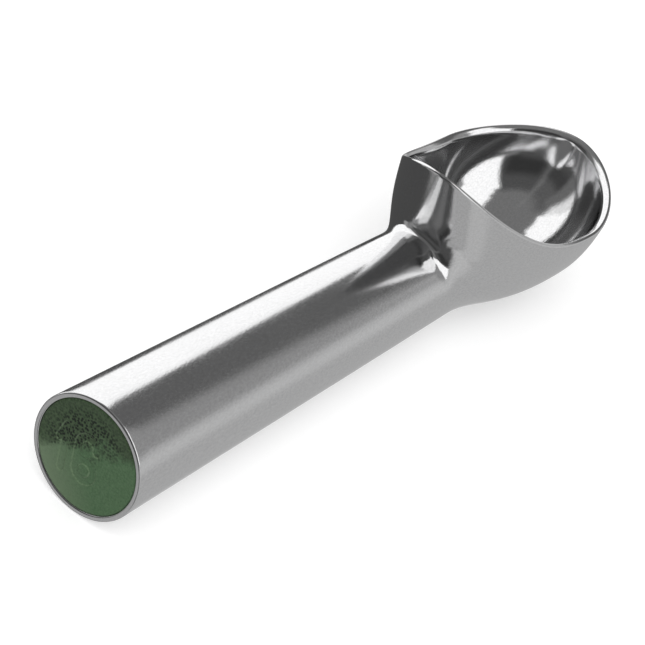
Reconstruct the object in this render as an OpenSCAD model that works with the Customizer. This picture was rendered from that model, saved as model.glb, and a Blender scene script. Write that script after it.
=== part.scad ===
// One-piece ice cream scoop with a fluid-filled handle.
// +X runs from the butt of the handle to the lip of the bowl, +Z is up out of the bowl's mouth.
// The origin is the centre of the butt face, on the handle's axis.

/* [Handle] */
// Length of the whole scoop, from the butt face to the lip of the bowl
overall_l = 184.8; // [175:0.2:195]
// Diameter of the handle at its butt
butt_d = 26.4; // [26:0.1:28]
// Diameter of the handle where it meets the bowl
neck_d = 23.8; // [22:0.1:25]
// Width of the bevel round the butt, outside and inside
butt_bevel = 0.3; // [0.1:0.05:0.5]
// Length of the rounded nose by which the handle runs out under the bowl
nose_l = 50; // [44:1:56]

/* [Bowl] */
// Length of the bowl, from the peak at the back of its rim to its lip
bowl_l = 80.3; // [76:0.1:84]
// Width of the bowl outside
bowl_w = 46.4; // [42:0.2:50]
// Distance from the bowl's widest place forward to the lip
bowl_front = 28.4; // [26:0.2:32]
// Height of the peak at the back of the rim above the handle's axis
peak_h = 33.1; // [30:0.1:36]
// Height of the lowest stretch of the rim above the handle's axis
rim_h = 13.2; // [11:0.1:16]
// Height of the lip above the handle's axis
lip_h = 18.1; // [16:0.1:20]
// Depth of the bowl's underside below the handle's axis
keel_h = 10.5; // [9.5:0.1:11.5]
// How far the outside of the back wall leans forward for each millimetre down
back_lean = 0.4; // [0.3:0.01:0.5]
// Height above the handle's axis at which the bowl's sides start to turn under
turn_h = 23.7; // [20:0.1:26]

/* [Hollow of the bowl] */
// Breadth of the bevelled lip that runs round the rim
lip_w = 2.2; // [1.6:0.1:3]
// Drop of that bevel from the outer edge of the rim to the hollow
lip_drop = 1.5; // [1:0.1:2]
// Thickness of the bowl's floor
floor_t = 3.2; // [2.4:0.1:4.5]
// Distance from the bowl's widest place back to the deepest point of the hollow
deep_back = 7; // [3:0.5:10]

/* [Fluid chamber] */
// Diameter of the chamber inside the handle
chamber_d = 17; // [14:0.1:19]
// Thickness of metal between the chamber's end and the foot of the bowl's back wall
neck_web = 8; // [5:0.5:12]
// Share of the chamber's height that the fluid leaves as air, for it to expand into
air_share = 0.12; // [0.05:0.01:0.25]

/* [Plug and seal] */
// Diameter of the seat that holds the plug
seat_d = 20; // [19.5:0.1:21]
// Length of the plug
plug_l = 10; // [8:0.5:14]
// Bevel on both ends of the plug
plug_bevel = 0.6; // [0.3:0.1:1]
// Depth of the groove that holds the sealing ring
groove_depth = 1.4; // [1:0.1:1.8]
// Width of that groove
groove_w = 2.6; // [2.2:0.1:3]
// Room on each side of the sealing ring in its groove
ring_room = 0.3; // [0.1:0.05:0.4]

/* [End cap] */
// Width of the metal left round the end cap at the butt
butt_ring = 1.2; // [1:0.1:1.6]
// Thickness of the end cap
cap_t = 2; // [1.6:0.1:3]
// Height of the two numerals sunk in the cap's face
numeral_h = 11.4; // [9:0.2:12]
// Width of the numerals' strokes
stroke_w = 1.7; // [1.2:0.1:2]
// Depth of the numerals
mark_depth = 0.25; // [0.1:0.05:0.4]
// Lean of the numerals to the left, in degrees, seen from the butt
numeral_lean = 8; // [0:1:15]
// Distance of the numerals' middle to the left of the cap's centre, seen from the butt
numeral_left = 2.8; // [0:0.1:3]
// Distance of the numerals' middle below the cap's centre
numeral_low = 1; // [0:0.1:1.5]

/* [Hidden] */
round_fn = 96;
eps = 0.01;

back_x = overall_l - bowl_l;
mid_x = overall_l - bowl_front;
half_w = bowl_w / 2;
foot_x = back_x + back_lean * (peak_h - neck_d / 2);
deep_x = mid_x - deep_back;
deep_z = floor_t - keel_h;

cap_d = butt_d - 2 * butt_ring;
seat_x = cap_t;
plug_end = seat_x + plug_l;
chamber_end = foot_x - neck_web;

// Shape exponents: 2 is an ellipse, more is squarer
plan_back = 2.12;
plan_back_low = 2.47;
plan_front = 1.83;
side_power = 2.8;
front_power = 3.4;
heel_power = 8.7;
heel_h = 11.3;
peak_power = 2.08;
lip_power = 2;
hollow_side = 2.1;
hollow_back = 1.5;

// Steps round the bowl, down its outside and down its hollow
around = 72;
down_out = 15;
down_in = 16;
// How far the raw walls of the bowl stand above the finished rim
raw_h = 2.5;
// Half the height of the narrow ring of the wall that the rim is cut in
rim_band = 0.3;
// How far the cutting bevel runs out past the rim
past = 2;

function spow(v, n) = sign(v) * pow(abs(v), n);

// Share of its full breadth that a wall keeps at height z, from its turn down to the keel
function tuck(z, top, n) =
    let (t = min(1, max(0, (top - z) / (top + keel_h))))
    pow(max(0, 1 - pow(t, n)), 1 / n);

// Height of the finished rim above the handle's axis
function rim_z(x) = x < mid_x
    ? rim_h + (peak_h - rim_h) * pow((mid_x - x) / (mid_x - back_x), peak_power)
    : rim_h + (lip_h - rim_h) * pow((x - mid_x) / bowl_front, lip_power);

// Outside of the bowl at plan angle a and height z
function wall_x(a, z) =
    let (back_l = (mid_x - back_x - back_lean * (peak_h - z)) * tuck(z, heel_h, heel_power),
         front_l = bowl_front * tuck(z, turn_h, front_power))
    mid_x + (cos(a) < 0
        ? back_l * spow(cos(a), 2 / plan_n(z))
        : front_l * spow(cos(a), 2 / plan_front));
function wall_y(a, z) =
    half_w * tuck(z, turn_h, side_power)
    * spow(sin(a), 2 / (cos(a) < 0 ? plan_n(z) : plan_front));
function plan_n(z) =
    let (t = min(1, max(0, (peak_h - z) / (peak_h + keel_h))))
    plan_back + (plan_back_low - plan_back) * t;

// Height at which the outside meets the finished rim at plan angle a
function rim_at(a, z = 20, n = 18) =
    n == 0 ? z : rim_at(a, (z + rim_z(wall_x(a, z))) / 2, n - 1);

function out_point(a, z) = [wall_x(a, z), wall_y(a, z), z];

// Unit direction from a point of the rim towards the middle of the bowl, in plan
function inward(p) = let (v = [mid_x - deep_back / 2 - p[0], -p[1]]) v / norm(v);

// Point on the bevel's plane, a breadth b in from the outer edge of the rim
function lip_point(p, b) = let (v = inward(p))
    [p[0] + v[0] * b, p[1] + v[1] * b, p[2] - lip_drop * b / lip_w];

// Point of the hollow below the inner edge q of the bevel, at share s of the way down
function hollow_point(a, q, s) =
    let (n = cos(a) < 0 ? hollow_side + (hollow_back - hollow_side) * pow(cos(a), 2) : hollow_side,
         h = pow(sin(90 * s), 2 / n),
         v = pow(cos(90 * s), 2 / n))
    [deep_x + (q[0] - deep_x) * v, q[1] * v, q[2] - (q[2] - deep_z) * h];

// Closed solid from rings of points, each ring a full turn, the last one drawn to a tip
module rings(list, tip_low, tip_high) {
    n = len(list[0]);
    m = len(list);
    pts = concat([for (r = list) each r], [tip_low, tip_high]);
    walls = [for (i = [0:m - 2], j = [0:n - 1], k = [0:1])
        let (a = i * n + j, b = i * n + (j + 1) % n, c = a + n, d = b + n)
        k == 0 ? [a, b, c] : [b, d, c]];
    low = [for (j = [0:n - 1]) [m * n, (j + 1) % n, j]];
    high = [for (j = [0:n - 1]) [m * n + 1, (m - 1) * n + j, (m - 1) * n + (j + 1) % n]];
    polyhedron(points = pts, faces = [for (f = concat(walls, low, high)) [f[0], f[2], f[1]]]);
}

// Outer form of the bowl, with raw walls that stand above the finished rim
module bowl_block() {
    angles = [for (j = [0:around - 1]) 360 * j / around];
    lift = function(i) 1 - cos(90 * pow(i / down_out, 0.9));
    list = concat(
        [for (i = [0:down_out])
            [for (a = angles)
                out_point(a, -keel_h + eps + (rim_at(a) - rim_band + keel_h - eps) * lift(i))]],
        [for (h = [rim_band, raw_h]) [for (a = angles) out_point(a, rim_at(a) + h)]]);
    mid_z = rim_h + raw_h;
    rings(list, [mid_x, 0, -keel_h], [mid_x, 0, mid_z]);
}

// Space that the bevelled lip and the hollow take out of that form
module bowl_hollow() {
    angles = [for (j = [0:around - 1]) 360 * j / around];
    edge = [for (a = angles) out_point(a, rim_at(a))];
    bevel_in = [for (p = edge) lip_point(p, lip_w)];
    bevel_out = [for (p = edge) lip_point(p, -past)];
    above = [for (p = bevel_out) [p[0], p[1], peak_h + raw_h + past]];
    steps = [for (i = [down_in - 1:-1:1]) i / down_in];
    list = concat(
        [for (s = steps) [for (j = [0:around - 1]) hollow_point(angles[j], bevel_in[j], s)]],
        [bevel_in, bevel_out, above]);
    rings(list, [deep_x, 0, deep_z], [mid_x, 0, peak_h + raw_h + past]);
}

// Handle turned about its axis, with the rounded nose that runs out under the bowl
module handle_form() {
    steps = 10;
    nose = [for (i = [0:steps]) let (a = 90 * i / steps)
        [neck_d / 2 * cos(a), foot_x + nose_l * sin(a)]];
    along_x()
        rotate_extrude($fn = round_fn)
            polygon(concat(
                [[0, 0], [butt_d / 2 - butt_bevel, 0], [butt_d / 2, butt_bevel]],
                nose));
}

// Chamber, plug seat and cap recess, bored in from the butt
module handle_bore() {
    along_x() {
        translate([0, 0, seat_x]) cylinder(h = chamber_end - seat_x, d = chamber_d, $fn = round_fn);
        translate([0, 0, seat_x - eps]) cylinder(h = plug_l + eps, d = seat_d, $fn = round_fn);
        translate([0, 0, -1]) cylinder(h = cap_t + 1, d = cap_d, $fn = round_fn);
    }
}

// Turns a shape that stands along +Z so that it lies along +X
module along_x() {
    rotate([0, 90, 0]) children();
}

module scoop_casting() {
    color([0.80, 0.80, 0.81])
        difference() {
            union() {
                handle_form();
                bowl_block();
            }
            bowl_hollow();
            handle_bore();
        }
}

module heat_fluid() {
    fluid_top = chamber_d / 2 - air_share * chamber_d;
    color([0.75, 0.85, 0.90, 0.5])
        intersection() {
            along_x()
                translate([0, 0, plug_end])
                    cylinder(h = chamber_end - plug_end, d = chamber_d, $fn = round_fn);
            translate([plug_end - 1, -chamber_d, fluid_top - 2 * chamber_d])
                cube([chamber_end - plug_end + 2, 2 * chamber_d, 2 * chamber_d]);
        }
}

module bore_plug() {
    groove_z = (plug_l - groove_w) / 2;
    r = seat_d / 2;
    color([0.70, 0.70, 0.72])
        along_x()
            translate([0, 0, seat_x])
                rotate_extrude($fn = round_fn)
                    polygon([
                        [0, 0],
                        [r - plug_bevel, 0],
                        [r, plug_bevel],
                        [r, groove_z],
                        [r - groove_depth, groove_z],
                        [r - groove_depth, groove_z + groove_w],
                        [r, groove_z + groove_w],
                        [r, plug_l - plug_bevel],
                        [r - plug_bevel, plug_l],
                        [0, plug_l]]);
}

module plug_ring() {
    ring_w = groove_w - 2 * ring_room;
    corner = groove_depth / 3;
    inner = seat_d / 2 - groove_depth;
    outer = seat_d / 2;
    start = (plug_l - ring_w) / 2;
    color([0.12, 0.12, 0.12])
        along_x()
            translate([0, 0, seat_x])
                rotate_extrude($fn = round_fn)
                    polygon([
                        [inner + corner, start],
                        [outer - corner, start],
                        [outer, start + corner],
                        [outer, start + ring_w - corner],
                        [outer - corner, start + ring_w],
                        [inner + corner, start + ring_w],
                        [inner, start + ring_w - corner],
                        [inner, start + corner]]);
}

// Numeral one: an upright stroke with a flag that falls away to its left
module numeral_one() {
    side = stroke_w / 2;
    flag_x = -side - 0.12 * numeral_h;
    flag_y = 0.06 * numeral_h;
    polygon([[side, numeral_h / 2],
             [side, -numeral_h / 2],
             [-side, -numeral_h / 2],
             [-side, flag_y + 1.2 * stroke_w],
             [flag_x, flag_y],
             [flag_x, flag_y + stroke_w],
             [-side / 2, numeral_h / 2]]);
}

// Numeral six: a ring below, an arch above and a stroke that joins them on the left
module numeral_six() {
    r = 0.27 * numeral_h;
    rise = numeral_h / 2 - r;
    translate([0, -rise]) stroke_ring(r);
    translate([0, rise])
        intersection() {
            stroke_ring(r);
            translate([-r, 0]) square([2 * r, r]);
        }
    translate([-r, -rise]) square([stroke_w, 2 * rise]);
}

module stroke_ring(r) {
    difference() {
        circle(r = r, $fn = round_fn);
        circle(r = r - stroke_w, $fn = round_fn);
    }
}

module end_cap() {
    gap = 0.48 * numeral_h;
    color([0.22, 0.36, 0.22])
        along_x()
            difference() {
                cylinder(h = cap_t, d = cap_d, $fn = round_fn);
                linear_extrude(2 * mark_depth, center = true)
                    rotate([0, 0, -90])
                        mirror([0, 1])
                            translate([-numeral_left, -numeral_low])
                                rotate([0, 0, numeral_lean]) {
                                    translate([-gap / 2, 0]) numeral_one();
                                    translate([gap / 2, 0]) numeral_six();
                                }
            }
}

scoop_casting();
heat_fluid();
bore_plug();
plug_ring();
end_cap();
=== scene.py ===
"""One-piece ice cream scoop: a cast aluminium handle and bowl with a green cap in the butt.

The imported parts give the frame. The casting and the cap are drawn again here as fine smooth
meshes of the same form, with a filleted neck, a rounded lip and a moulded cap.
Lengths are in millimetres until a mesh is made; shader nodes work in metres.
"""
import math

import bmesh
import bpy
import numpy as np
from mathutils import Matrix, Vector


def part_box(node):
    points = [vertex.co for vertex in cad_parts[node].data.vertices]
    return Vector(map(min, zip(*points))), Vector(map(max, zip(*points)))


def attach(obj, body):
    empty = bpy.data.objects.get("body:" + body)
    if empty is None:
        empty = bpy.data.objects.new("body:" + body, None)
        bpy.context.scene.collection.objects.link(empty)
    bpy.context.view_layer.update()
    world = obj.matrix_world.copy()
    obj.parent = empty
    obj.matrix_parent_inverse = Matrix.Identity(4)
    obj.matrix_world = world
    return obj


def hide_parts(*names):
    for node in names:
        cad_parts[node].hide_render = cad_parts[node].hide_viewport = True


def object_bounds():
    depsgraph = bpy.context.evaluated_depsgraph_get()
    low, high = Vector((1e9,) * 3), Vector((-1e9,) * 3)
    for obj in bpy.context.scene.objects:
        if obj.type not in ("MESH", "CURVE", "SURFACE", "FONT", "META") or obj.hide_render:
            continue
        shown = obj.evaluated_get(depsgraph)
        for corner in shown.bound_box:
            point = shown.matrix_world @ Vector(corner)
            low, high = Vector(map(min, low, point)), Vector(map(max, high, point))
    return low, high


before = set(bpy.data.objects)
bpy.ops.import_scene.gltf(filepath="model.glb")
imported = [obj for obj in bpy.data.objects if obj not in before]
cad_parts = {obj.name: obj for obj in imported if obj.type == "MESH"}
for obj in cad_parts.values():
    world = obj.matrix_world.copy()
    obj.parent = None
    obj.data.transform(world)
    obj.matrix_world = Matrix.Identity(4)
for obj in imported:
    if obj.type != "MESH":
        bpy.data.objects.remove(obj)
cad_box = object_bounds()

MM = 0.001

# Handle; the cap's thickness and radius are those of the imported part
OVERALL_L = 184.8
BUTT_R = 13.2
NECK_R = 11.9
NOSE_L = 50.0
BEVEL = 0.3
BUTT_ROUND = 0.42
CAP_T, CAP_R = np.array(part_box("end_cap")[1][:2]) / MM

# Bowl
BOWL_L = 80.3
HALF_W = 23.2
BOWL_FRONT = 28.4
PEAK_H = 33.1
RIM_H = 13.2
LIP_H = 18.1
KEEL_H = 10.5
KEEL_GAP = 0.002
BACK_LEAN = 0.4
TURN_H = 23.7
HEEL_H = 11.3
FLOOR_T = 3.2
DEEP_BACK = 7.0

BACK_X = OVERALL_L - BOWL_L
MID_X = OVERALL_L - BOWL_FRONT
FOOT_X = BACK_X + BACK_LEAN * (PEAK_H - NECK_R)
DEEP_X = MID_X - DEEP_BACK
DEEP_Z = FLOOR_T - KEEL_H

# Shape exponents: 2 is an ellipse, more is squarer
PLAN_BACK = 2.12
PLAN_BACK_LOW = 2.47
PLAN_FRONT = 1.83
SIDE_POWER = 2.8
FRONT_POWER = 3.4
HEEL_POWER = 8.7
PEAK_POWER = 2.08
HOLLOW_SIDE = 2.1
HOLLOW_BACK = 1.5

# Rim: how far each edge is rounded, and the land and the bevel between them
LIP_W = 2.3
LAND_W = 1.05
LAND_MIN = 0.05
LAND_ROUND = 0.3
LAND_DROP = 0.17
BEVEL_SLOPE = 0.68
RIM_ROUND = 0.85
CORNER_ROUND = 0.35
INNER_ROUND = 0.6
# The hollow runs from 0 at the rim to 1 at its deepest point; these are its first and last rows
HOLLOW_FIRST = 0.03
HOLLOW_LAST = 0.995

# Numerals and edge of the cap
NUMERAL_H = 11.4
STROKE_W = 1.7
NUMERAL_LEAN = 8
NUMERAL_LEFT = 2.8
NUMERAL_LOW = 1.0
NUMERAL_GAP = 0.24
LOOP_R = 0.27
HOOK_OUT = 0.12
HOOK_UP = 0.14
MARK_DEPTH = 0.25
MARK_SOFT = 0.22
CAP_EDGE = 0.45
CAP_DISH = 0.12
DISH_RUN = 2.0
CAP_INNER = 0.1

# How finely the meshes are drawn
ROUND_CAP = 480
RINGS_CAP = 112
ROUND_HANDLE = 240
ROWS_HANDLE = 30
ROUND_BOWL = 360
ROWS_OUTSIDE = 90
ROWS_HOLLOW = 70
ROWS_COLLAR = 70
HALVINGS = 24

# The collar is the filleted stretch of skin between handle and bowl
COLLAR_X = 98.0
COLLAR_OFF = 6.0
COLLAR_END = 150.0
COLLAR_STEP = 0.5
COLLAR_STEPS = 130
STITCH_GAP = 0.4
FILLET_TOP = 4.0
FILLET_SIDE = 5.2
FILLET_UNDER = 1.8
FLARE = 5.4
FLARE_HALF = 5.5
FLARE_RISE = 3
HEART = np.array([145.0, 0.0, 3.0])

# Smoothing of the skin along the crease, and less along the seam of the collar
SOFT_FROM = 90.0
SOFT_REACH = 9.0
SOFT_STEPS = 70
SOFT_RATE = 0.5
SEAM_SHARE = 0.4
SEAM_FULL = 1.2
SEAM_HALF = 1.6
SEAM_END = 132
SEAM_FADE = 8
# Zones of the casting's skin: only the outside is smoothed, not the rim and the hollow
OUTSIDE, INSIDE = 0, 1

# Where the casting's satin metal turns glossier at the neck, in metres along the scoop
GLOSS_FROM, GLOSS_TO = 0.094, 0.104
# The part of a noise's range that a shade or a gloss is spread over
NOISE_LOW, NOISE_HIGH = 0.3, 0.7

# Face of the cap, in metres: a band of painted dark reflection in its upper part, the pits, whose
# dark colour is painted reflection too, and a painted pale reflection towards the lower left
BAND_UP, BAND_RIGHT = 0.88, -0.47
BAND_FROM, BAND_TO = 0.0002, 0.0036
BAND_DRIFT = 0.012
PIT_SCALE = 1550
PIT_FADE_FROM, PIT_FADE_TO = 0.0078, 0.0108
PALE_FROM, PALE_TO = 0.001, 0.011
GREEN = (0.050, 0.112, 0.046, 1), (0.084, 0.160, 0.076, 1)
GREEN_SHADED = (0.028, 0.058, 0.022, 1), (0.058, 0.094, 0.044, 1)
GREEN_PALE_REFLECTION = (0.130, 0.190, 0.110, 1)
GREEN_PIT_DARK_REFLECTION = (0.003, 0.010, 0.004, 1)
# Painted highlight along the numerals' edges
GREEN_EDGE_HIGHLIGHT = (0.170, 0.240, 0.140, 1)

# Light
KEY_POWER = 14.0
KEY_SIZE = 1.6
KEY_PLACE = (-0.9, -0.5, 1.4)
KEY_AIM = (0.09, 0, 0)
DIFFUSE_LEVEL = 0.6
PLAIN_LEVEL = 0.25
FLOOR_GLOW = 0.4
FLOOR_HALF = 6.0
FLOOR_GAP = 0.0001

# Camera: where it stands, which way it looks, and its focal length in the photograph's pixels
CAMERA_PLACE = (-253.7, -144.1, 244.5)
CAMERA_AHEAD = (0.7611, 0.3304, -0.5582)
CAMERA_ROLL = -22.96
FOCAL_PX = 2000
PHOTO_PX = 645
SENSOR = 36.0


def spow(v, n):
    return np.sign(v) * np.abs(v) ** n


def tuck(z, top, n):
    """Share of its full breadth that a wall keeps at height z."""
    t = np.clip((top - z) / (top + KEEL_H), 0.0, 1.0)
    return np.maximum(0.0, 1.0 - t ** n) ** (1.0 / n)


def rim_z(x):
    back = (np.maximum(MID_X - x, 0.0) / (MID_X - BACK_X)) ** PEAK_POWER
    front = (np.maximum(x - MID_X, 0.0) / BOWL_FRONT) ** 2
    return RIM_H + (PEAK_H - RIM_H) * back + (LIP_H - RIM_H) * front


def plan_power(z):
    t = np.clip((PEAK_H - z) / (PEAK_H + KEEL_H), 0.0, 1.0)
    return PLAN_BACK + (PLAN_BACK_LOW - PLAN_BACK) * t


def wall_reach(z):
    """Reach of the bowl's outside at height z: backwards, forwards and sideways."""
    back = (MID_X - BACK_X - BACK_LEAN * (PEAK_H - z)) * tuck(z, HEEL_H, HEEL_POWER)
    front = BOWL_FRONT * tuck(z, TURN_H, FRONT_POWER)
    side = HALF_W * tuck(z, TURN_H, SIDE_POWER)
    return back, front, side


def wall_point(a, z):
    """Point of the bowl's outside at plan angle a and height z."""
    back, front, side = wall_reach(z)
    c, s = np.cos(a), np.sin(a)
    n = np.where(c < 0, plan_power(z), PLAN_FRONT)
    x = MID_X + np.where(c < 0, back, front) * spow(c, 2 / n)
    return np.stack([x, side * spow(s, 2 / n), z + 0 * x], axis=-1)


def rim_height(a):
    """Height of the rim at plan angle a, where the wall and the rim's curve meet."""
    z = np.full(np.shape(a), 20.0)
    for _ in range(HALVINGS):
        z = (z + rim_z(wall_point(a, z)[..., 0])) / 2
    return z


def wall_share(p):
    """Share of the bowl's reach at its height that a point has: 1 on the outside wall."""
    x, y, z = p[..., 0], p[..., 1], p[..., 2]
    back, front, side = wall_reach(z)
    reach = np.maximum(np.where(x < MID_X, back, front), 1e-6)
    side = np.maximum(side, 1e-6)
    n = np.where(x < MID_X, plan_power(z), PLAN_FRONT)
    return (np.abs(x - MID_X) / reach) ** n + (np.abs(y) / side) ** n


def wall_gauge(p):
    """How far a point stands off the bowl's outside, along the line from the bowl's heart."""
    away = p - HEART
    low, high = np.full(p.shape[:-1], 0.4), np.full(p.shape[:-1], 2.2)
    for _ in range(HALVINGS):
        mid = (low + high) / 2
        inside = wall_share(HEART + away * mid[..., None]) < 1
        low, high = np.where(inside, mid, low), np.where(inside, high, mid)
    return np.linalg.norm(away, axis=-1) * (1 - (low + high) / 2)


def slope(field, p, step=0.02):
    shifts = np.concatenate([np.eye(3), -np.eye(3)]) * step
    v = field(p[None] + shifts[:, None])
    return ((v[:3] - v[3:]) / (2 * step)).T


def handle_radius(x):
    taper = BUTT_R + (NECK_R - BUTT_R) * (x - BEVEL) / (FOOT_X - BEVEL)
    nose = NECK_R * np.sqrt(np.clip(1.0 - ((x - FOOT_X) / NOSE_L) ** 2, 0.0, 1.0))
    return np.where(x < FOOT_X, taper, nose)


def handle_distance(p):
    return np.hypot(p[..., 1], p[..., 2]) - handle_radius(p[..., 0])


def neck_gauge(p):
    """As wall_gauge, with the flare by which the wall meets the handle on its right side."""
    right = np.minimum(p[..., 1], 0.0) ** 2
    side = right / (right + FLARE_HALF ** 2)
    near = 1 - np.clip(handle_distance(p) / COLLAR_OFF, 0, 1) ** 2
    upper = 0.5 + 0.5 * np.tanh(p[..., 2] / FLARE_RISE)
    return wall_gauge(p) - FLARE * side * near ** 2 * upper


def skin(p):
    """Outer skin near the neck, handle and bowl joined by a fillet: distance and its slope."""
    a, b = handle_distance(p), neck_gauge(p)
    slope_a, slope_b = slope(handle_distance, p), slope(neck_gauge, p)
    size_a, size_b = (np.linalg.norm(v, axis=-1) for v in (slope_a, slope_b))
    a, b = a / size_a, b / size_b
    slope_a, slope_b = slope_a / size_a[:, None], slope_b / size_b[:, None]
    up = p[..., 2] / np.maximum(np.hypot(p[..., 1], p[..., 2]), 1e-6)
    top = np.clip(up, 0, 1) ** 2
    under = np.clip(-up, 0, 1) ** 2
    k = FILLET_SIDE + (FILLET_TOP - FILLET_SIDE) * top + (FILLET_UNDER - FILLET_SIDE) * under
    h = np.maximum(k - np.abs(a - b), 0.0) / k
    keep = np.where(a < b, 1 - h * h / 2, h * h / 2)[:, None]
    return np.minimum(a, b) - h ** 3 * k / 6, keep * slope_a + (1 - keep) * slope_b


def collar_half(sign):
    """Lines from the handle over the fillet onto the bowl, from the underside to the top."""
    half = ROUND_HANDLE // 2
    th = math.pi * (np.arange(half + 1) / half - 0.5)
    radial = np.stack([0 * th, sign * np.cos(th), np.sin(th)], axis=-1)
    ahead = np.array([1.0, 0.0, 0.0])
    u = np.stack([0 * th + COLLAR_X, 0 * th + handle_radius(COLLAR_X)], axis=-1)
    way = np.stack([1 + 0 * th, 0 * th], axis=-1)
    track = [u.copy()]
    for _ in range(COLLAR_STEPS):
        # One step along the skin, then two back onto it
        for move in (True, False, False):
            off, g = skin(ahead * u[:, :1] + radial * u[:, 1:])
            g2 = np.stack([g @ ahead, (g * radial).sum(-1)], axis=-1)
            size = (g2 ** 2).sum(-1, keepdims=True)
            if move:
                turn = np.stack([g2[:, 1], -g2[:, 0]], axis=-1) / np.sqrt(size)
                way = turn * np.sign((turn * way).sum(-1, keepdims=True))
                u = u + COLLAR_STEP * way
            else:
                u = u - off[:, None] * g2 / size
        track.append(u.copy())
    track = np.array(track)
    lines = []
    for j in range(half + 1):
        line = ahead * track[:, j, :1] + radial[j] * track[:, j, 1:]
        past = (handle_distance(line) - COLLAR_OFF) / COLLAR_OFF
        past = np.maximum(past, line[:, 0] / COLLAR_END - 1)
        last = int(np.argmax(past > 0))
        share = past[last - 1] / (past[last - 1] - past[last])
        end = line[last - 1] + (line[last] - line[last - 1]) * share
        line = np.concatenate([line[:last], end[None]])
        run = np.r_[0, np.cumsum(np.linalg.norm(np.diff(line, axis=0), axis=1))]
        at = run[-1] * np.linspace(0, 1, ROWS_COLLAR)
        lines.append(np.stack([np.interp(at, run, line[:, i]) for i in range(3)], axis=-1))
    return np.array(lines)


def collar_lines():
    """Both halves of the collar, one line for each angle, from +Y on."""
    lines = np.concatenate([collar_half(1), collar_half(-1)[ROUND_HANDLE // 2 - 1:0:-1]])
    return np.roll(lines, -(ROUND_HANDLE // 4), axis=0)


def bend(a, b, c, steps):
    """Points of a rounded corner at b, between a and c, without its two ends."""
    ts = np.arange(1, steps) / steps
    return [(1 - t) ** 2 * a + 2 * t * (1 - t) * b + t * t * c for t in ts]


class Sheet:
    """Collects rings of points and the quads between them, then makes one mesh."""

    def __init__(self):
        self.points = []
        self.faces = []
        self.zones = []

    def ring(self, points):
        start = len(self.points)
        self.points.extend(tuple(p) for p in points)
        return list(range(start, len(self.points)))

    def join(self, a, b, zone=OUTSIDE):
        n = len(a)
        for j in range(n):
            k = (j + 1) % n
            self.faces.append((a[j], a[k], b[k], b[j]))
            self.zones.append(zone)

    def close(self, ring, point, zone=OUTSIDE, turned=False):
        tip = len(self.points)
        self.points.append(tuple(point))
        n = len(ring)
        for j in range(n):
            a, b = ring[j], ring[(j + 1) % n]
            self.faces.append((b, a, tip) if turned else (a, b, tip))
            self.zones.append(zone)

    def loft(self, rings, zone=OUTSIDE):
        made = [self.ring(r) for r in rings]
        for a, b in zip(made, made[1:]):
            self.join(a, b, zone)
        return made

    def mesh(self, name):
        """The mesh, in which each face's material index holds its zone for now."""
        me = bpy.data.meshes.new(name)
        me.from_pydata([tuple(c * MM for c in p) for p in self.points], [], self.faces)
        for face, zone in zip(me.polygons, self.zones):
            face.material_index = zone
            face.use_smooth = True
        me.validate()
        return me


def turned_ring(x, r, n):
    th = 2 * math.pi * np.arange(n) / n
    return np.stack([0 * th + x, r * np.cos(th), r * np.sin(th)], axis=-1)


def rounded_profile(points, radius, steps=5):
    """Profile with each inner corner rounded by about the given radius."""
    pts = [np.array(p, float) for p in points]
    out = [pts[0]]
    for a, b, c in zip(pts, pts[1:], pts[2:]):
        d1, d2 = np.linalg.norm(a - b), np.linalg.norm(c - b)
        cut = min(radius, 0.45 * d1, 0.45 * d2)
        s, e = b + (a - b) / d1 * cut, b + (c - b) / d2 * cut
        out.append(s)
        out.extend(bend(s, b, e, steps))
        out.append(e)
    out.append(pts[-1])
    return out


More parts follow.
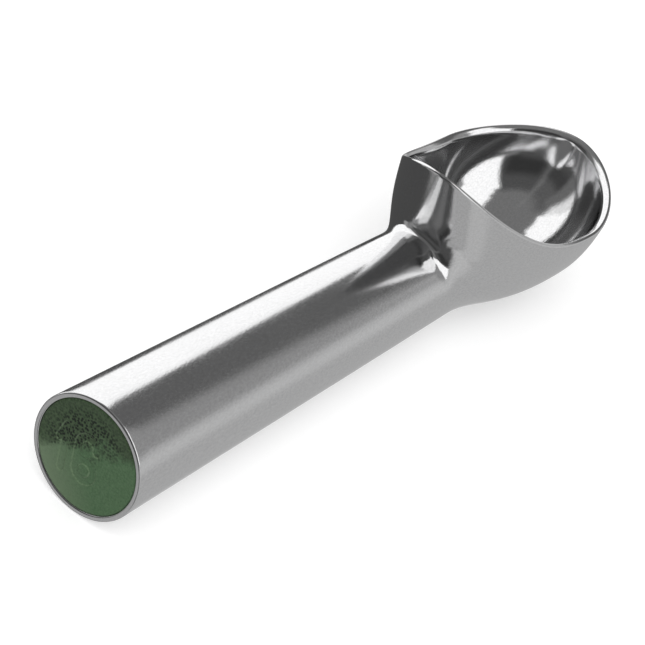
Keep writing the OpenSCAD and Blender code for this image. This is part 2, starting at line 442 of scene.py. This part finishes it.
def make_casting():
    """Handle, neck and bowl as one closed smooth skin."""
    sheet = Sheet()
    # Butt and handle, from the floor of the cap's recess to the start of the collar
    end_x = COLLAR_X - 1.0
    profile = rounded_profile(
        [(CAP_T, CAP_R), (0.0, CAP_R), (0.0, BUTT_R), (end_x, handle_radius(end_x))], BUTT_ROUND)
    start = profile[-2]
    along = [start + (profile[-1] - start) * t for t in np.linspace(0, 1, ROWS_HANDLE)[1:]]
    rings = [turned_ring(x, r, ROUND_HANDLE) for x, r in profile[:-1] + along]
    lines = collar_lines()
    rings += [lines[:, i] for i in range(ROWS_COLLAR)]
    made = sheet.loft(rings)
    sheet.close(made[0], (CAP_T, 0, 0), turned=True)

    # Bowl: outside from keel to rim, rounded lip, bevel, and the hollow down to its deepest point
    a = 2 * math.pi * np.arange(ROUND_BOWL) / ROUND_BOWL
    top = rim_height(a)
    edge = wall_point(a, top)
    # The rim's outer edge is rounded, most of all near the two back corners
    corner = np.clip(-2.5 * np.cos(a), 0, 1) * np.clip(3 * np.abs(np.sin(a)), 0, 1)
    tuck_in = RIM_ROUND + CORNER_ROUND * corner
    lift = 1 - np.cos(math.pi / 2 * (np.arange(ROWS_OUTSIDE) / (ROWS_OUTSIDE - 1)) ** 0.9)
    outside = [wall_point(a, -KEEL_H + KEEL_GAP + (top - tuck_in + KEEL_H) * t) for t in lift]
    centre = np.array([MID_X - DEEP_BACK / 2, 0.0])
    inward = centre - edge[:, :2]
    inward /= np.linalg.norm(inward, axis=1)[:, None]

    def lip(b):
        """The rim's top, b inwards from its outer edge: a nearly level land, then a bevel."""
        drop = LAND_DROP * np.minimum(b, LAND_W) / LAND_W
        drop = drop + BEVEL_SLOPE * np.maximum(b - LAND_W, 0.0)
        return np.column_stack([edge[:, :2] + inward * np.reshape(b, (-1, 1)), edge[:, 2] - drop])

    inner = lip(LIP_W)
    c = np.cos(a)
    power = np.where(c < 0, HOLLOW_SIDE + (HOLLOW_BACK - HOLLOW_SIDE) * c * c, HOLLOW_SIDE)

    def hollow(s):
        """Ring of the hollow, from the rim at 0 to its deepest point at 1."""
        down = math.sin(math.pi / 2 * s) ** (2 / power)
        keep = math.cos(math.pi / 2 * s) ** (2 / power)
        return np.column_stack([
            DEEP_X + (inner[:, 0] - DEEP_X) * keep,
            inner[:, 1] * keep,
            inner[:, 2] - (inner[:, 2] - DEEP_Z) * down])

    outer_rings = sheet.loft(outside)
    lip_rings = bend(outside[-1], edge, lip(tuck_in), 12) + [lip(tuck_in)]
    land_start = np.maximum(LAND_W, tuck_in + LAND_MIN)
    land_end = land_start + LAND_ROUND
    lip_rings += bend(lip(tuck_in), lip(land_start), lip(land_end), 5) + [lip(land_end)]
    lip_rings += [lip(land_end + (LIP_W - INNER_ROUND - land_end) * t) for t in (0.5, 1.0)]
    lip_rings += bend(lip(LIP_W - INNER_ROUND), inner, hollow(HOLLOW_FIRST), 7)
    steps = HOLLOW_FIRST + (HOLLOW_LAST - HOLLOW_FIRST) * np.linspace(0, 1, ROWS_HOLLOW)
    made = sheet.loft(lip_rings + [hollow(s) for s in steps], INSIDE)
    sheet.join(outer_rings[-1], made[0], INSIDE)
    sheet.close(made[-1], (DEEP_X, 0, DEEP_Z), INSIDE)
    sheet.close(outer_rings[0], (MID_X, 0, -KEEL_H), turned=True)

    me = sheet.mesh("scoop_body")
    stitch(me, outer_rings)
    return me


def stitch(me, outer_rings):
    """Cut the window for the handle in the bowl's outside and join the collar into it."""
    bm = bmesh.new()
    bm.from_mesh(me)
    bm.verts.ensure_lookup_table()
    outside = {i for ring in outer_rings for i in ring}
    pts = np.array([v.co for v in bm.verts]) / MM
    near = ((handle_distance(pts) < COLLAR_OFF + STITCH_GAP)
            & (pts[:, 0] < COLLAR_END + STITCH_GAP))
    cut = [f for f in bm.faces
           if any(v.index in outside and near[v.index] for v in f.verts)]
    bmesh.ops.delete(bm, geom=cut, context="FACES")
    loose = [v for v in bm.verts if not v.link_faces]
    bmesh.ops.delete(bm, geom=loose, context="VERTS")
    edges = [e for e in bm.edges if len(e.link_faces) == 1]
    made = bmesh.ops.bridge_loops(bm, edges=edges)
    for f in made["faces"]:
        f.smooth = True
        f.material_index = OUTSIDE
    bmesh.ops.triangulate(bm, faces=[f for f in made["faces"] if len(f.verts) > 4])
    bmesh.ops.recalc_face_normals(bm, faces=bm.faces)
    soften(bm)
    # The zones have done their work: the whole casting is one metal
    for f in bm.faces:
        f.material_index = 0
    bm.to_mesh(me)
    bm.free()


def soften(bm):
    """Even out the skin round the neck, most of all along the crease."""
    bm.verts.index_update()
    pts = np.array([v.co for v in bm.verts]) / MM
    ends = np.array([[v.index for v in e.verts] for e in bm.edges])
    count = np.bincount(ends.ravel(), minlength=len(pts))[:, None]
    plain = np.array([all(f.material_index == OUTSIDE for f in v.link_faces) for v in bm.verts])
    apart = handle_distance(pts)
    crease = np.clip(1 - (np.abs(apart) + np.abs(wall_gauge(pts))) / SOFT_REACH, 0, 1)
    seam = np.clip(SEAM_FULL - np.abs(apart - COLLAR_OFF) / SEAM_HALF, 0, 1)
    seam = SEAM_SHARE * seam * np.clip((SEAM_END - pts[:, 0]) / SEAM_FADE, 0, 1)
    share = np.where(plain & (pts[:, 0] > SOFT_FROM), np.maximum(crease, seam), 0)[:, None]
    for _ in range(SOFT_STEPS):
        total = np.stack([np.bincount(ends[:, 0], pts[ends[:, 1], i], len(pts)) +
                          np.bincount(ends[:, 1], pts[ends[:, 0], i], len(pts))
                          for i in range(3)], axis=-1)
        pts += SOFT_RATE * share * (total / count - pts)
    for v, p in zip(bm.verts, pts):
        v.co = p * MM


def stroke_distance(p, line):
    """Distance in the cap's face from each point to a line of points."""
    best = np.full(p.shape[:-1], 1e9)
    for a, b in zip(line, line[1:]):
        d = b - a
        t = np.clip(((p - a) @ d) / max(d @ d, 1e-9), 0, 1)
        best = np.minimum(best, np.linalg.norm(p - a - t[..., None] * d, axis=-1))
    return best


def numeral_depth(right, up):
    """Depth of the numerals one and six, at places to the right of and above the cap's centre."""
    lean = math.radians(NUMERAL_LEAN)
    x, y = right + NUMERAL_LEFT, up + NUMERAL_LOW
    p = np.stack([x * math.cos(lean) + y * math.sin(lean),
                  y * math.cos(lean) - x * math.sin(lean)], axis=-1)
    gap, half, mid = NUMERAL_GAP * NUMERAL_H, NUMERAL_H / 2, STROKE_W / 2
    tip = half - mid
    hook = [-gap - HOOK_OUT * NUMERAL_H, HOOK_UP * NUMERAL_H]
    one = np.array([[-gap, -tip], [-gap, tip], hook])
    r = LOOP_R * NUMERAL_H - mid
    rise = half - LOOP_R * NUMERAL_H
    arch = [[gap + r * math.cos(t), rise + r * math.sin(t)] for t in np.linspace(0, math.pi, 25)]
    loop = [[gap + r * math.cos(t), -rise + r * math.sin(t)]
            for t in np.linspace(math.pi, 3 * math.pi, 49)]
    six = np.array(arch + loop)
    d = np.minimum(stroke_distance(p, one), stroke_distance(p, six)) - mid
    t = np.clip((MARK_SOFT - d) / (2 * MARK_SOFT), 0, 1)
    return MARK_DEPTH * t * t * (3 - 2 * t)


def make_cap():
    """Moulded cap: a disc with a rounded edge and two numerals pressed into its face."""
    sheet = Sheet()
    th = 2 * math.pi * np.arange(ROUND_CAP) / ROUND_CAP
    face_r = CAP_R - CAP_EDGE
    rings = []
    for r in np.linspace(CAP_INNER, face_r, RINGS_CAP):
        y, z = r * np.cos(th), r * np.sin(th)
        dish = CAP_DISH * (1 - np.clip((face_r - r) / DISH_RUN, 0, 1)) ** 2
        rings.append(np.stack([numeral_depth(-y, z) - dish + CAP_DISH, y, z], axis=-1))
    for t in np.linspace(0, math.pi / 2, 8)[1:]:
        rings.append(turned_ring(CAP_EDGE * (1 - math.cos(t)),
                                 CAP_R - CAP_EDGE * (1 - math.sin(t)), ROUND_CAP))
    rings.append(turned_ring(CAP_T, CAP_R, ROUND_CAP))
    made = sheet.loft(rings)
    middle = CAP_DISH + numeral_depth(np.array(0.0), np.array(0.0))
    sheet.close(made[0], (middle, 0, 0), turned=True)
    sheet.close(made[-1], (CAP_T, 0, 0))
    me = sheet.mesh("size_cap")
    tidy_normals(me)
    # How far up a numeral's sloping edge each point of the face lies, for the painted highlight
    # along the numerals' edges
    pts = np.array([v.co for v in me.vertices]) / MM
    depth = numeral_depth(-pts[:, 1], pts[:, 2]) / MARK_DEPTH
    share = np.where(pts[:, 0] < 1.0, 4 * depth * (1 - depth), 0.0)
    edge = me.attributes.new("numeral_edge", "FLOAT", "POINT")
    edge.data.foreach_set("value", share.astype(np.float32))
    return me


def tidy_normals(me):
    bm = bmesh.new()
    bm.from_mesh(me)
    bmesh.ops.recalc_face_normals(bm, faces=bm.faces)
    bm.to_mesh(me)
    bm.free()


def socket(node, name, value):
    node.inputs[name].default_value = value


def feed(tree, value, target):
    """Link an output to an input, or set the input to a number or a colour."""
    if isinstance(value, bpy.types.NodeSocket):
        tree.links.new(value, target)
    else:
        target.default_value = value


def new_material(name):
    """A node material: the material, its tree, its shader and the object's coordinates."""
    mat = bpy.data.materials.new(name)
    mat.use_nodes = True
    tree = mat.node_tree
    shader = next(n for n in tree.nodes if n.type == "BSDF_PRINCIPLED")
    coords = tree.nodes.new("ShaderNodeTexCoord").outputs["Object"]
    return mat, tree, shader, coords


def split_xyz(tree, coords):
    n = tree.nodes.new("ShaderNodeSeparateXYZ")
    tree.links.new(coords, n.inputs[0])
    return n.outputs


def math_node(tree, kind, *values):
    n = tree.nodes.new("ShaderNodeMath")
    n.operation = kind
    for i, v in enumerate(values):
        feed(tree, v, n.inputs[i])
    return n.outputs[0]


def mix(tree, factor, a, b, kind="RGBA"):
    """Mix of two colours, or of two numbers where kind is FLOAT."""
    n = tree.nodes.new("ShaderNodeMix")
    n.data_type = kind
    first, out = (6, 2) if kind == "RGBA" else (2, 0)
    feed(tree, a, n.inputs[first])
    feed(tree, b, n.inputs[first + 1])
    tree.links.new(factor, n.inputs[0])
    return n.outputs[out]


def noise(tree, coords, scale, detail=3.0, rough=0.5, stretch=(1, 1, 1)):
    place = tree.nodes.new("ShaderNodeMapping")
    socket(place, "Scale", stretch)
    tree.links.new(coords, place.inputs["Vector"])
    n = tree.nodes.new("ShaderNodeTexNoise")
    socket(n, "Scale", scale)
    socket(n, "Detail", detail)
    socket(n, "Roughness", rough)
    tree.links.new(place.outputs["Vector"], n.inputs["Vector"])
    return n.outputs["Fac"]


def ramp(tree, value, low, high, out_low=0.0, out_high=1.0, kind="LINEAR"):
    n = tree.nodes.new("ShaderNodeMapRange")
    n.interpolation_type = kind
    ends = (("From Min", low), ("From Max", high), ("To Min", out_low), ("To Max", out_high))
    for name, v in ends:
        socket(n, name, v)
    tree.links.new(value, n.inputs["Value"])
    return n.outputs["Result"]


def bump(tree, height, shader, strength, distance):
    n = tree.nodes.new("ShaderNodeBump")
    socket(n, "Strength", strength)
    socket(n, "Distance", distance)
    tree.links.new(height, n.inputs["Height"])
    tree.links.new(n.outputs["Normal"], shader.inputs["Normal"])


def metal(name, color, rough, grain, stretch, relief, shade_low=0.9, polish=1.0):
    """Aluminium with a fine grain in its gloss; polish scales the roughness past the neck."""
    mat, tree, shader, coords = new_material(name)
    socket(shader, "Metallic", 1.0)
    fine = noise(tree, coords, grain, 4.0, 0.6, stretch)
    broad = noise(tree, coords, grain / 40)
    dull = (*[c * shade_low for c in color], 1)
    shade = mix(tree, ramp(tree, fine, NOISE_LOW, NOISE_HIGH), dull, (*color, 1))
    tree.links.new(shade, shader.inputs["Base Color"])
    low, high = rough
    gloss = math_node(tree, "ADD", ramp(tree, fine, NOISE_LOW, NOISE_HIGH, low, high),
                      ramp(tree, broad, 0.35, 0.65, -0.1 * high, 0.1 * high))
    along = split_xyz(tree, coords)["X"]
    gloss = math_node(tree, "MULTIPLY", gloss,
                      ramp(tree, along, GLOSS_FROM, GLOSS_TO, 1.0, polish))
    tree.links.new(gloss, shader.inputs["Roughness"])
    bump(tree, fine, shader, relief, 0.00002)
    return mat


def cap_plastic():
    """Green moulded plastic with a pebbled face; a painted dark reflection darkens a band of its
    upper part and the pits there, a painted pale reflection lightens the lower left, and painted
    highlights pale the numerals' edges.
    """
    mat, tree, shader, coords = new_material("green_plastic")
    place = split_xyz(tree, coords)
    y, z = place["Y"], place["Z"]
    # Painted dark reflection over the upper part of the face: height over a slanting line across
    # it; a cloud makes the line irregular
    slant = math_node(tree, "SUBTRACT", math_node(tree, "MULTIPLY", z, BAND_UP),
                      math_node(tree, "MULTIPLY", y, BAND_RIGHT))
    cloud = noise(tree, coords, 210, 4.0, 0.6)
    drift = math_node(tree, "MULTIPLY", math_node(tree, "SUBTRACT", cloud, 0.5), BAND_DRIFT)
    upper = ramp(tree, math_node(tree, "ADD", slant, drift), BAND_FROM, BAND_TO)

    # Pits: the middles of small cells, not of every cell, and fewer towards the rim; their relief
    # is real, but their near-black colour is a painted dark reflection, strong in the upper band
    # and faint outside it
    flat = tree.nodes.new("ShaderNodeCombineXYZ")
    tree.links.new(y, flat.inputs[0])
    tree.links.new(z, flat.inputs[1])
    cells = tree.nodes.new("ShaderNodeTexVoronoi")
    cells.voronoi_dimensions = "2D"
    socket(cells, "Scale", PIT_SCALE)
    tree.links.new(flat.outputs[0], cells.inputs["Vector"])
    chance = tree.nodes.new("ShaderNodeSeparateColor")
    tree.links.new(cells.outputs["Color"], chance.inputs[0])
    pit = math_node(tree, "MULTIPLY", ramp(tree, cells.outputs["Distance"], 0.28, 0.50, 1.0, 0.0),
                    ramp(tree, chance.outputs[0], 0.03, 0.28))
    off = tree.nodes.new("ShaderNodeVectorMath")
    off.operation = "LENGTH"
    tree.links.new(flat.outputs[0], off.inputs[0])
    off = math_node(tree, "ADD", off.outputs["Value"], math_node(tree, "MULTIPLY", drift, 0.3))
    seen = ramp(tree, off, PIT_FADE_FROM, PIT_FADE_TO, 1.0, 0.3)
    dark = math_node(tree, "MULTIPLY", math_node(tree, "MULTIPLY", pit, seen),
                     ramp(tree, upper, 0.0, 1.0, 0.06, 1.0))

    grain = noise(tree, coords, 2300, 3.0, 0.6)
    fine = ramp(tree, grain, NOISE_LOW, NOISE_HIGH)
    # Painted pale reflection: paler towards the lower left of the face
    low_left = math_node(tree, "SUBTRACT", math_node(tree, "MULTIPLY", y, 0.8),
                         math_node(tree, "MULTIPLY", z, 0.6))
    plain = mix(tree, ramp(tree, low_left, PALE_FROM, PALE_TO), mix(tree, fine, *GREEN),
                GREEN_PALE_REFLECTION)
    # Painted dark reflection: the upper band takes the darker green
    color = mix(tree, upper, plain, mix(tree, fine, *GREEN_SHADED))
    # Painted dark reflection in the pits
    color = mix(tree, dark, color, GREEN_PIT_DARK_REFLECTION)
    # Painted highlight: paler edges round the numerals
    edge = tree.nodes.new("ShaderNodeAttribute")
    edge.attribute_name = "numeral_edge"
    edge_highlight = math_node(tree, "MULTIPLY", edge.outputs["Fac"],
                     ramp(tree, grain, 0.35, 0.6, 0.15, 0.6))
    color = mix(tree, edge_highlight, color, GREEN_EDGE_HIGHLIGHT)
    tree.links.new(color, shader.inputs["Base Color"])
    socket(shader, "Roughness", 0.42)
    socket(shader, "Specular IOR Level", 0.5)
    relief = math_node(tree, "SUBTRACT", math_node(tree, "MULTIPLY", grain, 0.5), pit)
    bump(tree, relief, shader, 0.35, 0.00008)
    return mat


def liquid():
    """Clear, faintly clouded liquid that fills the hollow handle."""
    mat, tree, shader, coords = new_material("clear_liquid")
    cloud = ramp(tree, noise(tree, coords, 90), NOISE_LOW, NOISE_HIGH)
    tint = mix(tree, cloud, (0.80, 0.87, 0.88, 1), (0.93, 0.96, 0.96, 1))
    tree.links.new(tint, shader.inputs["Base Color"])
    socket(shader, "Roughness", 0.05)
    socket(shader, "IOR", 1.34)
    socket(shader, "Transmission Weight", 0.9)
    return mat


def rubber():
    """Black rubber with a fine matt grain."""
    mat, tree, shader, coords = new_material("black_rubber")
    grain = noise(tree, coords, 3000, 4.0, 0.6)
    tone = mix(tree, ramp(tree, grain, NOISE_LOW, NOISE_HIGH), (0.010, 0.010, 0.011, 1),
               (0.028, 0.028, 0.030, 1))
    tree.links.new(tone, shader.inputs["Base Color"])
    socket(shader, "Roughness", 0.75)
    bump(tree, grain, shader, 0.4, 0.00003)
    return mat


def add_object(name, me, mat):
    obj = bpy.data.objects.new(name, me)
    me.materials.append(mat)
    bpy.context.scene.collection.objects.link(obj)
    return obj


def set_node_material(node, mat):
    """Give a kept CAD node its material, in each of its material slots."""
    for held in bpy.data.objects[node].material_slots:
        held.material = mat


def make_floor():
    """Pale floor just under the scoop, white to the camera and with a soft shadow on it."""
    r = FLOOR_HALF
    z = cad_box[0][2] - FLOOR_GAP
    me = bpy.data.meshes.new("floor")
    me.from_pydata([(-r, -r, z), (r, -r, z), (r, r, z), (-r, r, z)], [], [(0, 1, 2, 3)])
    mat, tree, shader, _ = new_material("floor")
    socket(shader, "Base Color", (0.85, 0.85, 0.85, 1))
    socket(shader, "Roughness", 0.9)
    socket(shader, "Specular IOR Level", 0.0)
    socket(shader, "Emission Color", (1, 1, 1, 1))
    light_path = tree.nodes.new("ShaderNodeLightPath")
    glow = math_node(tree, "MULTIPLY", light_path.outputs["Is Camera Ray"], FLOOR_GLOW)
    tree.links.new(glow, shader.inputs["Emission Strength"])
    obj = add_object("floor", me, mat)
    obj.visible_glossy = False


# What stands round the scoop, as the metal sees it: middle and half width of each patch in
# degrees of azimuth, the same of elevation, softness of its edges, strength of its light.
# A later patch lies over the ones before it.
SURROUNDINGS = [
    ("ceiling", 0, 180, 60, 60, 10, 0.18),
    ("dim wall ahead", -5, 34, 42, 20, 8, 0.12),
    ("wall on the right", -47, 20, 38, 26, 6, 0.28),
    ("dim side of the camera", -140, 32, 30, 32, 6, 0.085),
    ("dark side of the camera", -140, 26, 21, 18, 8, 0.038),
    ("dim wall on the left", 148, 34, 36, 30, 10, 0.11),
    ("dark wall on the left", 154, 30, 20, 16, 8, 0.055),
    ("dark wall behind the camera", 180, 52, -6, 20, 5, 0.075),
    ("grey wall on the left", 127, 9, 28, 26, 5, 0.15),
    ("pale wall far ahead", -14, 18, 11, 8, 4, 0.5),
    ("pale table", -48, 63, -45, 58, 5, 0.43),
    ("pale table in front", -112, 20, -45, 46, 6, 0.49),
    ("pale table below the camera", -152, 34, -57, 34, 4, 0.40),
    ("pale table behind", 165, 35, -57, 31, 4, 0.38),
    ("foot of the dark wall behind the camera", -167, 15, -36, 13, 5, 0.075),
    ("pale floor beside the camera", -137, 16, -20, 13, 5, 0.38),
    ("bright far end of the table", -75, 48, -1, 8, 6, 0.53),
    ("dark beyond the table", 70, 44, -47, 42, 6, 0.07),
    ("white edge of the table", 18, 9, -36, 14, 5, 0.7),
    ("grey panel", 105, 7, -5, 30, 3, 0.32),
    ("soft box on the left, far end", 106, 10, 29, 19, 5, 0.85),
    ("upper corner of the soft box on the left", 101, 8, 47, 6, 4, 0.95),
    ("soft box on the left", 64, 37, 22.5, 32.5, 1, 1.16),
    ("upper part of the soft box on the left", 84, 19, 48, 11, 1, 1.16),
    ("soft box on the right", -86, 22.5, 34.5, 23, 1.5, 1.16),
    ("near side of the soft box on the right", -68, 12, 46, 15, 1.5, 1.16),
    ("middle of its slanting top", -67, 29, 54, 7.5, 2, 1.16),
    ("top of its slanting top", -62, 21, 60, 5.5, 2, 1.16),
]


def make_world():
    """White to the camera, even to matt surfaces, and the studio's surroundings to the metal."""
    world = bpy.data.worlds.new("studio")
    bpy.context.scene.world = world
    world.use_nodes = True
    tree = world.node_tree
    back = next(n for n in tree.nodes if n.type == "BACKGROUND")

    def within(value, middle, half, soft, wrap):
        """1 within half a width of the middle, with soft edges; wrap takes it round the circle."""
        off = math_node(tree, "SUBTRACT", value, middle)
        if wrap:
            off = math_node(tree, "WRAP", off, 180.0, -180.0)
        off = math_node(tree, "ABSOLUTE", off)
        return ramp(tree, off, half + soft, half - soft, kind="SMOOTHSTEP")

    x, y, z = split_xyz(tree, tree.nodes.new("ShaderNodeTexCoord").outputs["Generated"])
    turn = math_node(tree, "MULTIPLY", math_node(tree, "ARCTAN2", y, x), 180 / math.pi)
    lift = math_node(tree, "MULTIPLY", math_node(tree, "ARCSINE", z), 180 / math.pi)
    level = PLAIN_LEVEL
    for _, at, half, high, half_high, soft, light in SURROUNDINGS:
        here = math_node(tree, "MULTIPLY", within(turn, at, half, soft, True),
                         within(lift, high, half_high, soft, False))
        level = mix(tree, here, level, light, "FLOAT")
    light_path = tree.nodes.new("ShaderNodeLightPath")
    level = mix(tree, light_path.outputs["Is Diffuse Ray"], level, DIFFUSE_LEVEL, "FLOAT")
    level = mix(tree, light_path.outputs["Is Camera Ray"], level, 1.0, "FLOAT")
    tree.links.new(level, back.inputs["Color"])


def make_lamp():
    """Broad soft lamp overhead for the floor and the cap."""
    lamp = bpy.data.lights.new("key", "AREA")
    lamp.energy = KEY_POWER
    lamp.size = KEY_SIZE
    obj = bpy.data.objects.new("key", lamp)
    obj.location = KEY_PLACE
    obj.rotation_euler = (Vector(KEY_AIM) - obj.location).to_track_quat("-Z", "Y").to_euler()
    obj.visible_glossy = False
    bpy.context.scene.collection.objects.link(obj)


def make_camera():
    """Camera at the photograph's viewing angle."""
    ahead = Vector(CAMERA_AHEAD).normalized()
    roll = math.radians(CAMERA_ROLL)
    side = ahead.cross(Vector((0, 0, 1))).normalized()
    up = side.cross(ahead)
    cam_up = up * math.cos(roll) + side * math.sin(roll)
    cam_side = ahead.cross(cam_up).normalized()
    turn = Matrix((cam_side, cam_up, -ahead)).transposed()
    cam = bpy.data.cameras.new("camera")
    cam.sensor_fit = "HORIZONTAL"
    cam.sensor_width = SENSOR
    cam.lens = SENSOR * FOCAL_PX / PHOTO_PX
    cam.clip_start = 0.01
    obj = bpy.data.objects.new("camera", cam)
    obj.matrix_world = Matrix.Translation(Vector(CAMERA_PLACE) * MM) @ turn.to_4x4()
    bpy.context.scene.collection.objects.link(obj)
    bpy.context.scene.camera = obj


satin = metal("satin_aluminium", (0.87, 0.87, 0.875), (0.13, 0.21), 2300, (0.6, 1, 1),
              relief=0.6, shade_low=0.88, polish=0.5)
turned = metal("turned_aluminium", (0.80, 0.80, 0.81), (0.22, 0.34), 1600, (12, 1, 1),
               relief=0.4)

body = add_object("scoop_body", make_casting(), satin)
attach(body, "root")
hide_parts("scoop_casting")

cap = add_object("size_cap", make_cap(), cap_plastic())
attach(cap, "root")
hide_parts("end_cap")

set_node_material("heat_fluid", liquid())
set_node_material("bore_plug", turned)
set_node_material("plug_ring", rubber())

make_floor()
make_world()
make_lamp()
make_camera()

bpy.context.scene.view_settings.view_transform = "Standard"
